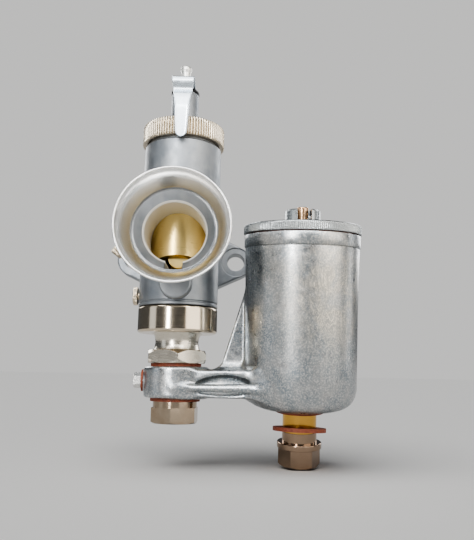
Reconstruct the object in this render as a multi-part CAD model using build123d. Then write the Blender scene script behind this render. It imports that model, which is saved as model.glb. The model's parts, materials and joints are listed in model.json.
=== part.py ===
from build123d import *
import os
from math import sqrt

# A slide carburettor with a remote, bottom-feed float chamber on a banjo arm. Millimetres.
#
# Frame: origin at the centre of the bore on the face of the engine flange. +Y points out of the flange to
# the engine, -Y out of the bellmouth, and +Z up along the mixing chamber. The float chamber's own axis
# leans 7 degrees, so that it hangs upright when the bore slopes down to the engine.

# Driving dimensions
BORE_R = 12.0
STUD_SPACING = 50.0
STUD_HOLE_R = 4.25
CHAMBER_Y = -40.0  # the mixing chamber's vertical axis, in front of the flange face
BODY_R = 16.8
SLIDE_BORE_R = 13.45
FIT = 0.05  # radial clearance of a running fit
FACE_GAP = 0.02  # between the flat faces of a clamped pair that can turn
SLIDE_R = SLIDE_BORE_R - FIT
ARM_LENGTH = 52.4  # from the banjo eye's axis to the float chamber's
ARM_Z = -57.5  # mid-height of the banjo eye
FLOAT_LEAN = 7.0

# Heights up the mixing chamber's axis
TOWER_TOP = 71.2
RING_TOP = 53.5
BODY_TOP = 50.0
RING_FOOT = 45.5
SLIDE_FOOT = -12.3
DECK_Z = 6.0  # top of the slide's deck, where the spring and the needle's clip rest
BODY_FOOT = -26.3
NECK_FOOT = -34.0
NUT_FOOT = -37.3
HOLDER_HEX_TOP = -44.4
HOLDER_FOOT = -49.8
EYE_TOP = -51.2
EYE_FOOT = -63.9
BOLT_SHOULDER = -65.3

# Heights up the float chamber's axis, counted from the arm's mid-height
BOWL_FOOT = -10.0
BAND_FOOT = 57.0
BOWL_TOP = 62.4
LID_FOOT = 62.8
LID_TOP = 66.7
BOSS_TOP = 73.65
TICKLER_TOP = 75.0
TICKLER_TRAVEL = 2.0
SEAT_FOOT = -19.5

MIXING = Pos(0, CHAMBER_Y, 0)
FLOATING = Pos(ARM_LENGTH, CHAMBER_Y, ARM_Z) * Rot(FLOAT_LEAN, 0, 0)
ALONG_BORE = Rot(90, 0, 0)  # turns a shape built up +Z so that it runs out along -Y


# Shapes that repeat

def turned(*outline):
    """The solid swept about Z by a closed outline of (radius, height) corners."""
    return revolve(Plane.XZ * make_face(Polyline(*outline, close=True)), Axis.Z)


def rod(radius, low, high):
    return Pos(0, 0, (low + high) / 2) * Cylinder(radius, high - low)


def tube(outer, inner, low, high):
    return rod(outer, low, high) - rod(inner, low - 1, high + 1)


def beaded(radius, low, high, edge):
    """A cylinder about Z with both rims rounded."""
    solid = rod(radius, low, high)
    return fillet(solid.edges().filter_by(GeomType.CIRCLE), edge)


def hexagon(across_flats, low, high, turn=0.0, crown=0.0, foot=0.0, slope=0.577):
    """A hexagonal prism about Z, its corners cut back by crown at the top and by foot at the bottom."""
    corner = across_flats / sqrt(3)
    prism = Pos(0, 0, low) * Rot(0, 0, turn) * extrude(RegularPolygon(corner, 6), high - low)
    if crown:
        shoulder = high - crown * slope
        prism &= turned((0, low), (corner, low), (corner, shoulder), (corner - crown, high), (0, high))
    if foot:
        shoulder = low + foot * slope
        prism &= turned((0, low), (corner - foot, low), (corner, shoulder), (corner, high), (0, high))
    return prism


def spring(mean_radius, wire, low, high, turns):
    """A compression spring about Z whose wire stays between the two heights."""
    rise = high - low - 2.2 * wire
    coil = Helix(pitch=rise / turns, height=rise, radius=mean_radius, center=(0, 0, low + 1.1 * wire))
    return sweep(Plane(origin=coil @ 0, z_dir=coil % 0) * Circle(wire), path=coil)


# Mixing chamber: the casting and what is fixed to it

LUG_R = 7.6
HUB_R = 18.2
FLANGE_T = 9.0
SPOT_T = 8.5
TUBE_R = 15.8
TUBE_END = 74.0  # distances out along the bore, to the bellmouth
FUNNEL_START = 69.8
AIR_BOSS_Z = -18.2
AIR_BOSS_R = 6.5
SLOT_HALF = 3.4
SLOT_TOP = -10.5
NECK_R = 14.9
THREAD_R = 15.3

STOP_SCREW_R = 1.75
STOP_SCREW_TURN = -142.4  # its outward axis points to the left and down
STOP_SCREW_Z = 15.1  # where that axis meets the slide
STOP_BOSS_END = 14.5
STOP_SCREW = Pos(-SLIDE_R, CHAMBER_Y, STOP_SCREW_Z) * Rot(0, STOP_SCREW_TURN, 0)

PILOT_SCREW_R = 1.5
PILOT_SCREW = Pos(0, CHAMBER_Y, -21.6) * Rot(0, -90, 0)


def flange():
    half = STUD_SPACING / 2
    lean = (HUB_R - LUG_R) / half
    rise = sqrt(1 - lean * lean)
    corners = []
    for side_x, side_z in ((-1, 1), (1, 1), (1, -1), (-1, -1)):
        lug = (side_x * (half + LUG_R * lean), side_z * LUG_R * rise)
        hub = (side_x * HUB_R * lean, side_z * HUB_R * rise)
        corners += [lug, hub] if side_x * side_z < 0 else [hub, lug]
    outline = make_face(Polyline(*corners, close=True)) + Circle(HUB_R)
    for side in (-half, half):
        outline += Pos(side, 0) * Circle(LUG_R)
    plate = extrude(outline, FLANGE_T)
    plate = fillet(plate.faces().sort_by(Axis.Z)[-1].outer_wire().edges(), 0.8)
    for side in (-half, half):
        plate -= Pos(side, 0, 0) * rod(LUG_R - 0.5, SPOT_T, FLANGE_T + 1)
    return ALONG_BORE * plate


def mixing_chamber_body():
    groove_r = BODY_R - 0.45
    column = MIXING * turned(
        (0, NECK_FOOT), (NECK_R - 0.3, NECK_FOOT), (NECK_R, NECK_FOOT + 0.3), (NECK_R, BODY_FOOT),
        (BODY_R, BODY_FOOT), (BODY_R, BODY_FOOT + 1.0), (groove_r, BODY_FOOT + 1.3),
        (groove_r, BODY_FOOT + 1.7), (BODY_R, BODY_FOOT + 2.0), (BODY_R, RING_FOOT - 1.6),
        (BODY_R - 0.6, RING_FOOT - 1.0), (THREAD_R, RING_FOOT - 1.0), (THREAD_R, BODY_TOP), (0, BODY_TOP),
    )
    intake = ALONG_BORE * turned(
        (0, 40), (15.2, 40), (15.2, 60), (TUBE_R, 62), (TUBE_R, TUBE_END), (0, TUBE_END),
    )
    outlet = ALONG_BORE * turned(
        (0, FLANGE_T - 1), (16.4, FLANGE_T - 1), (15.0, FLANGE_T + 1.5), (14.4, FLANGE_T + 4), (14.4, 40),
        (0, 40),
    )
    air_boss = Pos(0, 0, AIR_BOSS_Z) * ALONG_BORE * beaded(AIR_BOSS_R, 44, 61.8, 0.9)
    stop_boss = STOP_SCREW * rod(3.5, 2, STOP_BOSS_END)
    solid = column + intake + outlet + flange() + air_boss + stop_boss
    solid -= MIXING * rod(SLIDE_BORE_R, NECK_FOOT - 1, BODY_TOP + 1)
    solid -= ALONG_BORE * rod(BORE_R, -1, TUBE_END + 1)
    solid -= ALONG_BORE * turned(
        (0, FUNNEL_START), (BORE_R, FUNNEL_START), (TUBE_R - 0.2, TUBE_END + 0.01), (0, TUBE_END + 0.01),
    )
    for side in (-1, 1):
        solid -= Pos(side * STUD_SPACING / 2, 0, 0) * ALONG_BORE * rod(STUD_HOLE_R, -1, FLANGE_T + 1)
    for floor, start, end in ((-15.2, FUNNEL_START - 4, TUBE_END + 1), (-13.9, 52.0, FUNNEL_START)):
        slot = Box(2 * SLOT_HALF, end - start, SLOT_TOP - floor)
        solid -= Pos(0, -(start + end) / 2, (floor + SLOT_TOP) / 2) * slot
    solid -= Pos(0, 0, AIR_BOSS_Z + 0.8) * ALONG_BORE * rod(1.2, 50, 63)
    solid -= STOP_SCREW * rod(STOP_SCREW_R + FIT, -3, STOP_BOSS_END + 1)
    solid -= PILOT_SCREW * rod(PILOT_SCREW_R + FIT, 10, BODY_R + 2)
    return solid


BELL_FRONT = 84.0
BELL_R = 21.8
SLEEVE_REAR = 62.2


def bellmouth():
    """A spun trumpet: its inner wall leaves the intake tube along the bore and flares to a rolled lip."""
    throat = TUBE_R + 0.4
    lip_r = 0.75
    inner_lip = (BELL_R - lip_r, BELL_FRONT - 0.45)
    inner = Spline(
        (throat, TUBE_END - 0.6), (throat + 1.9, 78.6), inner_lip, tangents=[(0.2, 0.98), (0.71, 0.71)],
    )
    lip = ThreePointArc(inner_lip, (BELL_R - 0.2, BELL_FRONT), (BELL_R, BELL_FRONT - 0.8))
    outer = Spline(
        (BELL_R, BELL_FRONT - 0.8), (throat + 3.5, 78.0), (throat + 1.8, 71.0),
        tangents=[(-0.5, -0.87), (0, -1)],
    )
    sleeve = Polyline(
        (throat + 1.8, 71.0), (throat + 1.8, SLEEVE_REAR), (TUBE_R + FACE_GAP, SLEEVE_REAR),
        (TUBE_R + FACE_GAP, TUBE_END - 0.6), (throat, TUBE_END - 0.6),
    )
    return ALONG_BORE * revolve(Plane.XZ * make_face(inner + lip + outer + sleeve), Axis.Z)


NOSE_Z = -6.6
NOSE_R = 4.45
NOSE_FRONT = 50.2
NEEDLE_JET_R = 2.9


def jet_block():
    """The block in the foot of the chamber, with a spray nose that stands in the bore under the slide."""
    deck = SLIDE_FOOT - 0.3
    block = turned(
        (0, NECK_FOOT), (SLIDE_R, NECK_FOOT), (SLIDE_R, -21.5), (9.5, -21.5), (9.5, -15.0), (SLIDE_R, -15.0),
        (SLIDE_R, deck), (0, deck),
    )
    block += rod(3.8, deck - 1, NOSE_Z)
    block -= turned((0, NECK_FOOT - 1), (9.0, NECK_FOOT - 1), (9.0, -25.0), (0, -23.0))
    block = MIXING * block
    nose = ALONG_BORE * fillet(rod(NOSE_R, 31.0, NOSE_FRONT).edges().filter_by(GeomType.CIRCLE), 0.8)
    block += Pos(0, 0, NOSE_Z) * nose
    block -= MIXING * rod(NEEDLE_JET_R + FIT, -30, -15)
    block -= MIXING * rod(1.6, -16, 0)
    block -= Pos(0, 0, NOSE_Z) * ALONG_BORE * rod(2.0, 30, 38.5)
    return block - MIXING * Pos(6.0, 0, 0) * rod(0.6, -26, -12)


def jet_block_washer():
    return MIXING * tube(14.3, 8.2, NECK_FOOT - 0.8, NECK_FOOT)


def needle_jet():
    solid = turned(
        (0, -42), (2.2, -42), (2.2, -37), (3.4, -36.6), (3.4, -33.5), (NEEDLE_JET_R, -33.1),
        (NEEDLE_JET_R, -15.6), (0, -15.2),
    )
    return MIXING * (solid - rod(1.3, -44, -14))


def main_jet():
    solid = hexagon(5.6, -46.0, -42.0, crown=0.3) + rod(1.9, -49.5, -45.5)
    return MIXING * (solid - rod(0.55, -50, -41))


def pilot_jet():
    solid = turned((0, -32), (1.9, -32), (1.9, -29.6), (1.4, -29.2), (1.4, -25.8), (0.7, -25.2), (0, -25.2))
    return MIXING * Pos(6.0, 0, 0) * (solid - rod(0.35, -33, -25))


NUT_R = 16.8
HOLDER_NECK_R = 10.3
HOLDER_WAIST_R = 9.1
HOLDER_FLANGE_TOP = NECK_FOOT - 0.8
HOLDER_FLANGE_FOOT = -36.0
HOLDER_BORE_R = 4.2
BOLT_SHANK_R = 6.9


def union_nut():
    solid = beaded(NUT_R, NUT_FOOT, BODY_FOOT - 0.2, 1.1)
    solid -= rod(NECK_R + FIT, HOLDER_FLANGE_FOOT, 0)
    return MIXING * (solid - rod(HOLDER_NECK_R + 0.25, NUT_FOOT - 1, 0))


def jet_holder():
    waist_foot = (9.8, HOLDER_HEX_TOP + 0.3)
    waist_top = (HOLDER_NECK_R, NUT_FOOT + 0.2)
    waist = ThreePointArc(waist_foot, (HOLDER_WAIST_R, HOLDER_HEX_TOP + 3.4), waist_top)
    rest = Polyline(
        waist_top, (HOLDER_NECK_R, HOLDER_FLANGE_FOOT), (14.3, HOLDER_FLANGE_FOOT), (14.3, HOLDER_FLANGE_TOP),
        (0, HOLDER_FLANGE_TOP), (0, HOLDER_HEX_TOP - 1), (11.4, HOLDER_HEX_TOP - 1), (11.4, HOLDER_HEX_TOP),
        waist_foot,
    )
    solid = revolve(Plane.XZ * make_face(waist + rest), Axis.Z)
    solid += hexagon(23.7, HOLDER_FOOT, HOLDER_HEX_TOP, turn=30 + 7.3, crown=1.8, foot=1.8, slope=0.95)
    solid -= rod(HOLDER_BORE_R, HOLDER_FOOT - 1, HOLDER_FLANGE_TOP + 1)
    return MIXING * (solid - rod(BOLT_SHANK_R, HOLDER_FOOT - 1, -45.0))


def banjo_washer(radius, low, high):
    return MIXING * tube(radius, BOLT_SHANK_R + FIT, low, high)


def upper_banjo_washer():
    return banjo_washer(10.6, EYE_TOP + FACE_GAP, HOLDER_FOOT)


def lower_banjo_washer():
    return banjo_washer(10.4, BOLT_SHOULDER, EYE_FOOT - FACE_GAP)


def banjo_bolt():
    collar_foot = -67.9
    solid = rod(BOLT_SHANK_R, BOLT_SHOULDER - 0.5, -45.0) + rod(9.2, collar_foot, BOLT_SHOULDER)
    solid += hexagon(18.0, -74.2, collar_foot + 0.1, turn=25.4, foot=1.3)
    solid -= rod(HOLDER_BORE_R, collar_foot, -44)
    for turn in (45, 135):
        solid -= Pos(0, 0, ARM_Z) * Rot(0, 90, turn) * rod(1.8, -8, 8)
    return MIXING * solid


# Top of the mixing chamber

ADJUSTER_R = 2.35
CLIP_PLATE_Z = TOWER_TOP + 0.8
CLIP_T = 0.8


def top_cap():
    solid = turned(
        (0, BODY_TOP), (15.2, BODY_TOP), (15.2, 52.2), (12.7, 52.2), (12.7, RING_TOP), (9.0, RING_TOP + 0.4),
        (6.9, RING_TOP + 1.4), (6.1, RING_TOP + 3.0), (6.1, TOWER_TOP - 0.5), (5.6, TOWER_TOP),
        (0, TOWER_TOP),
    )
    solid -= rod(10.8, BODY_TOP - 1, BODY_TOP + 1.6)
    solid -= rod(3.4, BODY_TOP, 60)
    return MIXING * (solid - rod(ADJUSTER_R + FIT, 59, TOWER_TOP + 1))


def cap_ring():
    solid = turned(
        (THREAD_R + FIT, RING_FOOT), (17.6, RING_FOOT), (18.1, RING_FOOT + 0.5), (18.1, RING_TOP - 0.5),
        (17.6, RING_TOP), (12.9, RING_TOP), (12.9, 52.3), (THREAD_R + FIT, 52.3),
    )
    return MIXING * solid


def tower_washer():
    return MIXING * tube(6.3, ADJUSTER_R + 0.15, TOWER_TOP, CLIP_PLATE_Z)


def sheet_back(points):
    """The other side of a bent sheet: each corner moved across by the sheet's thickness, mitred."""
    moved = []
    for k, (y, z) in enumerate(points):
        normals = []
        for a, b in ((k - 1, k), (k, k + 1)):
            if a >= 0 and b < len(points):
                dy = points[b][0] - points[a][0]
                dz = points[b][1] - points[a][1]
                length = sqrt(dy * dy + dz * dz)
                normals.append((-dz / length, dy / length))
        ny = sum(n[0] for n in normals) / len(normals)
        nz = sum(n[1] for n in normals) / len(normals)
        scale = CLIP_T / (ny * ny + nz * nz)
        moved.append((y + ny * scale, z + nz * scale))
    return moved


def locking_clip():
    """A tapered spring leaf, bent down from a plate on the tower, whose tip stands against the ring."""
    top = CLIP_PLATE_Z + CLIP_T
    tip_r = 2.6
    outer = [
        (5.0, top), (-15.0, top), (-16.9, top - 0.9), (-17.5, 70.0), (-17.3, 68.7), (-16.0, 67.2),
        (-16.1, 66.0), (-16.9, 65.0), (-18.4, 63.4), (-19.0, 61.7), (-20.0, 57.0), (-20.0, 43.5),
    ]
    section = make_face(Polyline(*outer, *reversed(sheet_back(outer)), close=True))
    strip = extrude(Plane(origin=(-8, CHAMBER_Y, 0), x_dir=(0, 1, 0), z_dir=(1, 0, 0)) * section, 16)
    front = make_face(Polyline(
        (-tip_r, 43.5 + tip_r), (-3.35, 60.7), (-4.7, 70.3), (-4.85, top + 1), (4.85, top + 1), (4.7, 70.3),
        (3.35, 60.7), (tip_r, 43.5 + tip_r), close=True,
    ))
    front += Pos(0, 43.5 + tip_r) * Circle(tip_r)
    silhouette = extrude(Plane.XZ * front, 80)
    plan = Pos(0, -15, 0) * Box(12, 30, 200) + rod(5.0, -100, 100)
    return (strip & silhouette & (MIXING * plan)) - MIXING * rod(ADJUSTER_R + 0.15, 60, 90)


def adjuster_lock_nut():
    foot = CLIP_PLATE_Z + CLIP_T
    nut = hexagon(8.0, foot, foot + 2.8, crown=0.6)
    return MIXING * (nut - rod(ADJUSTER_R + FIT, 70, 80))


def cable_adjuster():
    outline = Polyline(
        (1.6, 84.9), (0, 84.9), (0, 61.0), (ADJUSTER_R, 61.0), (ADJUSTER_R, 76.2), (2.05, 76.7), (2.05, 81.6),
        (2.5, 83.0), (2.5, 83.7),
    )
    dome = ThreePointArc((2.5, 83.7), (2.2, 84.5), (1.6, 84.9))
    solid = revolve(Plane.XZ * make_face(outline + dome), Axis.Z)
    return MIXING * (solid - rod(1.0, 60, 90))


# Throttle

GROOVE_TOP = STOP_SCREW_Z + 1.7
NEEDLE_R = 1.25


def throttle_slide():
    wall = 1.8
    solid = rod(SLIDE_R, SLIDE_FOOT, 26.0)
    solid -= rod(SLIDE_R - wall, SLIDE_FOOT - 1, DECK_Z - 3)
    solid -= rod(SLIDE_R - wall, DECK_Z, 27)
    solid -= rod(NEEDLE_R + 0.02, 0, 10)
    solid -= Pos(5.2, 0, 0) * rod(1.6, 0, 10)
    edge = SLIDE_R + 1
    cut_rise = 7.1
    cutaway = make_face(Polyline(
        (-edge, SLIDE_FOOT + cut_rise), (-edge, SLIDE_FOOT - 1), (3.5, SLIDE_FOOT - 1), (1.7, SLIDE_FOOT),
        close=True,
    ))
    solid -= extrude(Plane(origin=(-20, 0, 0), x_dir=(0, 1, 0), z_dir=(1, 0, 0)) * cutaway, 40)
    guide_depth = 1.2
    groove_mid = (SLIDE_FOOT - 1 + GROOVE_TOP) / 2
    solid -= Pos(-SLIDE_R, 0, groove_mid) * Box(2 * guide_depth, 4.2, GROOVE_TOP - SLIDE_FOOT + 1)
    return MIXING * solid


def jet_needle():
    solid = turned(
        (0, -31), (0.5, -31), (NEEDLE_R - 0.1, -16), (NEEDLE_R, -10), (NEEDLE_R, DECK_Z + 0.1),
        (0.8, DECK_Z + 0.1), (0.8, DECK_Z + 0.7), (NEEDLE_R, DECK_Z + 0.7), (NEEDLE_R, 11), (0, 11.6),
    )
    return MIXING * solid


def needle_clip():
    plate = tube(4.4, 0.82, DECK_Z + 0.1, DECK_Z + 0.7)
    return MIXING * (plate - Pos(0, 3.3, DECK_Z) * Box(1.6, 6, 3))


def throttle_spring():
    return MIXING * spring(9.9, 0.6, DECK_Z, BODY_TOP + 1.6, 11)


def throttle_stop_screw():
    head_start = STOP_BOSS_END + 5.0
    head_end = 23.9
    solid = rod(STOP_SCREW_R, 1.0, head_start + 0.5) + rod(2.5, head_start, head_end)
    solid += turned((0, -0.6), (0.8, -0.6), (STOP_SCREW_R, 1.0), (0, 1.0))
    return STOP_SCREW * (solid - Pos(0, 0, head_end) * Box(0.9, 8, 2.6))


def stop_screw_spring():
    return STOP_SCREW * spring(2.2, 0.25, STOP_BOSS_END, STOP_BOSS_END + 5.0, 5)


def pilot_air_screw():
    disc_start = BODY_R + 0.45
    disc_end = disc_start + 2.0
    solid = rod(PILOT_SCREW_R, 13.6, disc_start + 0.5)
    solid += turned(
        (0, disc_start), (3.4, disc_start), (3.65, disc_start + 0.25), (3.65, disc_end - 0.25),
        (3.4, disc_end), (0, disc_end),
    )
    return PILOT_SCREW * (solid - Pos(0, 0, disc_end) * Box(0.9, 8, 1.6))


# Float chamber

BOWL_BORE_R = 21.4
SEAT_R = 7.1
EYE_R = 13.2
PLUG_Z = -57.0
ARM_TOP = -52.2
ARM_FOOT = -63.5
RIDGE_Z = -59.5
RIDGE_R = 1.8
PLUG_R = 1.8
PLUG_BOSS_R = 4.6
WEB_T = 3.6


def bowl():
    foot = Polyline((0, BOWL_FOOT), (10.6, BOWL_FOOT), (17.0, BOWL_FOOT + 0.6))
    corner = ThreePointArc((17.0, BOWL_FOOT + 0.6), (21.7, -6.6), (23.5, -1.5))
    side = Polyline(
        (23.5, -1.5), (23.65, 30), (24.2, BAND_FOOT - 0.3), (23.9, BAND_FOOT), (24.55, BAND_FOOT + 0.3),
        (24.55, BOWL_TOP), (0, BOWL_TOP), (0, BOWL_FOOT),
    )
    return FLOATING * revolve(Plane.XZ * make_face(foot + corner + side), Axis.Z)


def bowl_hollow():
    hollow = turned(
        (0, -5.6), (BOWL_BORE_R - 3, -5.6), (BOWL_BORE_R, -2.6), (BOWL_BORE_R, 58), (22.6, 58.6),
        (22.6, BOWL_TOP + 1), (0, BOWL_TOP + 1),
    )
    return FLOATING * (hollow + rod(5.0, BOWL_FOOT - 1, 0))


def arm():
    """A beam from the banjo eye to the bowl, with a fuel-passage ridge along each side and a web above."""
    near_half = 11.2
    far_half = 14.8
    reach = 38.0
    corners = ((2, near_half), (reach, far_half), (reach, -far_half), (2, -near_half))
    plan = make_face(Polyline(*corners, close=True))
    beam = Pos(0, 0, ARM_FOOT) * extrude(plan, ARM_TOP - ARM_FOOT)
    pockets = []
    for start, end, rise in ((5.5, 36.0, 4.95), (3.5, 37.5, -2.7)):
        arch = ThreePointArc((start, RIDGE_Z), ((start + end) / 2, RIDGE_Z + rise), (end, RIDGE_Z))
        pockets.append(make_face(arch + Line((end, RIDGE_Z), (start, RIDGE_Z))))
    pocket_depth = 4.0
    slope = (far_half - near_half) / (reach - 2)
    for side in (-1, 1):
        for pocket in pockets:
            cutter = extrude(Plane.XZ * pocket, 20, both=True)
            keep = near_half + slope * 18 - pocket_depth
            beam -= cutter & Pos(0, side * (keep + 10), 0) * Box(200, 20, 200)
        start = Vector(0, side * 11.2, RIDGE_Z)
        end = Vector(36.0, side * 14.8, RIDGE_Z)
        path = end - start
        ridge = Plane(origin=start, z_dir=path) * rod(RIDGE_R, 0, path.length)
        beam += ridge + Pos(*end) * Sphere(RIDGE_R)
    return MIXING * beam


def web():
    left_edge = ThreePointArc((29.6, -15.2), (23.6, -34.0), (19.2, -49.6))
    corner = ThreePointArc((19.2, -49.6), (17.6, -51.6), (14.6, -52.4))
    rest = Polyline((14.6, -52.4), (14.6, -54.5), (32.0, -54.5), (32.0, -15.2), (29.6, -15.2))
    face = make_face(left_edge + corner + rest)
    plate = extrude(Plane.XZ * face, WEB_T / 2, both=True)
    return MIXING * plate


def float_chamber():
    eye = beaded(EYE_R, EYE_FOOT, EYE_TOP, 0.9)
    plug_boss = Pos(0, 0, PLUG_Z) * Rot(0, -90, 0) * rod(PLUG_BOSS_R, 8, EYE_R + 0.1)
    solid = MIXING * (eye + plug_boss) + arm() + web()
    solid = solid - FLOATING * rod(22.0, -4, 60)
    solid = solid + bowl() - bowl_hollow()
    solid -= MIXING * rod(BOLT_SHANK_R + FIT, EYE_FOOT - 1, EYE_TOP + 1)
    solid -= MIXING * rod(9.5, ARM_Z - 2.6, ARM_Z + 2.6)
    solid -= MIXING * Pos(0, 0, PLUG_Z) * Rot(0, -90, 0) * rod(PLUG_R, 9, EYE_R + 1)
    gallery = Rot(0, 90, 0) * rod(1.6, 9, 33)
    return solid - MIXING * Pos(0, 0, ARM_Z) * gallery


def plug_washer():
    return MIXING * Pos(0, 0, PLUG_Z) * Rot(0, -90, 0) * tube(4.5, PLUG_R + 0.1, EYE_R + 0.1, EYE_R + 1.0)


def plug_screw():
    head_start = EYE_R + 1.0
    solid = hexagon(5.6, head_start, head_start + 3.3, crown=0.5)
    solid += rod(PLUG_R - FACE_GAP, 9.8, head_start + 0.5)
    return MIXING * Pos(0, 0, PLUG_Z) * Rot(0, -90, 0) * solid


CONE_TOP = -12.2
FLOAT_RISE = 2.4
FLOAT_NEEDLE_R = 1.45
GUIDE_FOOT = 55.5
POCKET_FOOT = 63.5
BUTTON_R = 2.52
BUTTON_FOOT = 67.0


def needle_seat():
    """The brass stem that the fuel union is clamped around, with the needle's seat in its top."""
    solid = turned(
        (0, SEAT_FOOT - 6), (4.5, SEAT_FOOT - 6), (4.5, SEAT_FOOT), (SEAT_R, SEAT_FOOT), (SEAT_R, BOWL_FOOT),
        (4.95, BOWL_FOOT), (4.95, -4.6), (4.2, -3.9), (0, -3.9),
    )
    solid -= rod(FLOAT_NEEDLE_R + 0.3, -12, -3)
    solid -= turned(
        (0, -20), (2.9, -20), (2.9, CONE_TOP + FLOAT_RISE - 0.5), (1.75, CONE_TOP + FLOAT_RISE + 0.9),
        (0, -10),
    )
    solid -= rod(2.9, SEAT_FOOT - 7, -19)
    return FLOATING * (solid - Pos(0, 0, -15.0) * Rot(-90, 0, 0) * rod(1.6, 2, 8))


def bowl_washer():
    return FLOATING * tube(10.2, SEAT_R + FIT, BOWL_FOOT - 1.4, BOWL_FOOT)


def loose_washer():
    return FLOATING * Pos(0, 0, -18.8) * Rot(-8.5, 1.5, 0) * tube(11.2, SEAT_R + 0.45, -0.8, 0.8)


def fuel_union_nut():
    shoulder = -23.7
    hex_top = -26.0
    solid = rod(7.25, shoulder - 0.5, SEAT_FOOT) + beaded(9.3, hex_top - 0.2, shoulder, 0.4)
    solid += hexagon(15.2, -33.65, hex_top, foot=1.5)
    return FLOATING * (solid - rod(4.55, SEAT_FOOT - 7.5, SEAT_FOOT + 1))


def lid_gasket():
    return FLOATING * tube(23.4, 22.7, BOWL_TOP, LID_FOOT - FACE_GAP)


def float_chamber_lid():
    lid_r = 24.75
    solid = turned(
        (0, 61.0), (20.0, 61.0), (20.0, 59.0), (22.55, 59.0), (22.55, LID_FOOT), (lid_r - 0.3, LID_FOOT),
        (lid_r, LID_FOOT + 0.3), (lid_r, LID_TOP - 0.7), (lid_r - 0.7, LID_TOP), (0, LID_TOP),
    )
    solid += turned(
        (0, GUIDE_FOOT), (3.6, GUIDE_FOOT), (4.6, GUIDE_FOOT + 1), (4.6, LID_TOP - 1), (7.55, LID_TOP - 1),
        (7.55, BOSS_TOP - 0.6), (6.95, BOSS_TOP), (0, BOSS_TOP),
    )
    solid -= rod(FLOAT_NEEDLE_R + 0.1, GUIDE_FOOT - 1, POCKET_FOOT + 1)
    solid -= rod(BUTTON_R + 0.08, POCKET_FOOT, BOSS_TOP + 1)
    slot_foot = 68.2
    solid -= Pos(0, 0, (slot_foot + 80) / 2) * Box(6.1, 20, 80 - slot_foot)
    return FLOATING * (solid - Pos(0, 0, 70.8) * Rot(0, 90, 0) * rod(0.8, -8, 8))


def tickler_pin():
    return FLOATING * Pos(0, 0, 70.8) * Rot(0, 90, 0) * rod(0.8, -7.0, 7.0)


def tickler():
    button = rod(BUTTON_R, BUTTON_FOOT, TICKLER_TOP)
    button = fillet(button.edges().filter_by(GeomType.CIRCLE).sort_by(Axis.Z)[-1], 0.6)
    stem = rod(FLOAT_NEEDLE_R, POCKET_FOOT - 0.1, BUTTON_FOOT + 0.5)
    window_foot = 70.8 - 1.1
    window_top = 70.8 + 1.1 + TICKLER_TRAVEL
    window = Pos(0, 0, (window_foot + window_top) / 2) * Box(8, 2.2, window_top - window_foot)
    return FLOATING * (button + stem - window)


def tickler_spring():
    return FLOATING * spring(2.05, 0.2, POCKET_FOOT, BUTTON_FOOT, 3.5)


def float_body():
    """A sealed hollow drum of thin sheet round a central tube."""
    skin = 0.6
    drum = beaded(19.6, 3.0, 38.0, 2.0) - rod(FLOAT_NEEDLE_R, 0, 40)
    void = beaded(19.6 - skin, 3.0 + skin, 38.0 - skin, 2.0 - skin) - rod(FLOAT_NEEDLE_R + skin, 0, 40)
    return FLOATING * (drum - void)


def float_needle():
    """The needle's cone hangs under its seat and closes up against it as the float rises."""
    solid = rod(FLOAT_NEEDLE_R, CONE_TOP - 1.0, 58.0)
    solid += turned(
        (0, -16), (1.0, -16), (2.3, -14.8), (2.3, CONE_TOP - 1.2), (FLOAT_NEEDLE_R, CONE_TOP), (0, CONE_TOP),
    )
    return FLOATING * solid


def float_clip():
    plate = tube(5.0, FLOAT_NEEDLE_R, 38.0, 38.8)
    return FLOATING * (plate - Pos(0, 4, 38) * Box(1.8, 8, 4))


NODES = {
    "mixing_chamber_body": mixing_chamber_body,
    "bellmouth": bellmouth,
    "jet_block": jet_block,
    "jet_block_washer": jet_block_washer,
    "needle_jet": needle_jet,
    "main_jet": main_jet,
    "pilot_jet": pilot_jet,
    "union_nut": union_nut,
    "jet_holder": jet_holder,
    "upper_banjo_washer": upper_banjo_washer,
    "lower_banjo_washer": lower_banjo_washer,
    "banjo_bolt": banjo_bolt,
    "top_cap": top_cap,
    "cap_ring": cap_ring,
    "tower_washer": tower_washer,
    "locking_clip": locking_clip,
    "adjuster_lock_nut": adjuster_lock_nut,
    "cable_adjuster": cable_adjuster,
    "throttle_slide": throttle_slide,
    "jet_needle": jet_needle,
    "needle_clip": needle_clip,
    "throttle_spring": throttle_spring,
    "throttle_stop_screw": throttle_stop_screw,
    "stop_screw_spring": stop_screw_spring,
    "pilot_air_screw": pilot_air_screw,
    "float_chamber": float_chamber,
    "plug_washer": plug_washer,
    "plug_screw": plug_screw,
    "needle_seat": needle_seat,
    "bowl_washer": bowl_washer,
    "loose_washer": loose_washer,
    "fuel_union_nut": fuel_union_nut,
    "lid_gasket": lid_gasket,
    "float_chamber_lid": float_chamber_lid,
    "tickler_pin": tickler_pin,
    "tickler": tickler,
    "tickler_spring": tickler_spring,
    "float": float_body,
    "float_needle": float_needle,
    "float_clip": float_clip,
}

os.makedirs("parts", exist_ok=True)
for name, build in NODES.items():
    export_step(build(), f"parts/{name}.step")
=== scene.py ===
import json
from math import cos, exp, pi, radians, sin, sqrt, tau

import bmesh
import bpy
import numpy as np
from mathutils import Matrix, Vector


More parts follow.
